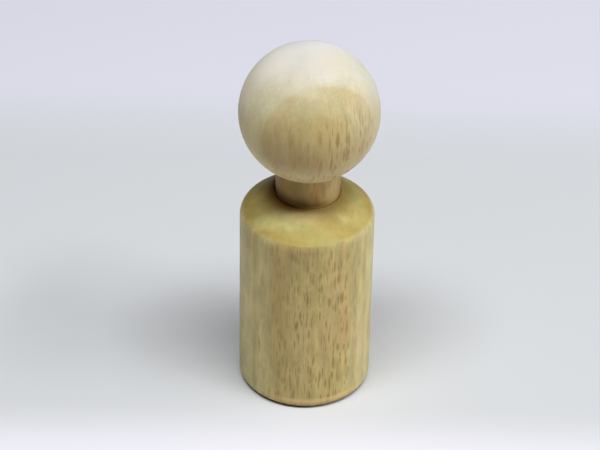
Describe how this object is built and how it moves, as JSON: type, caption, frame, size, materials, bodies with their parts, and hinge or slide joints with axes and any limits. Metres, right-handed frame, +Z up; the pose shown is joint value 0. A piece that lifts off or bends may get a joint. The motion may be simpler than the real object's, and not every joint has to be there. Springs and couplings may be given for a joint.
{
  "type": "peg doll",
  "caption": "Bare wooden peg doll: a plain ball head on a dowel neck, glued into a turned cylindrical body with a coned shoulder, a rounded rim and a flat base.",
  "frame": {"origin": "centre of the flat base, on the doll's axis, where it meets the table", "axes": "+Z up along the doll's axis, from the base to the crown; the doll is round, so X and Y are free, and -Y is the side that the picture shows"},
  "size_m": [0.0216, 0.0216, 0.0608],
  "materials": {
    "beech_body": "bare beech, sanded and unfinished, grain upright, end grain on the shoulder",
    "beech_dowel": "bare beech dowel, sanded, slightly pinker than the body",
    "beech_head": "bare pale beech, sanded, grain upright, end grain on the crown"
  },
  "bodies": {
    "root": {"body": "beech_body", "neck_dowel": "beech_dowel", "head": "beech_head"}
  },
  "joints": []
}
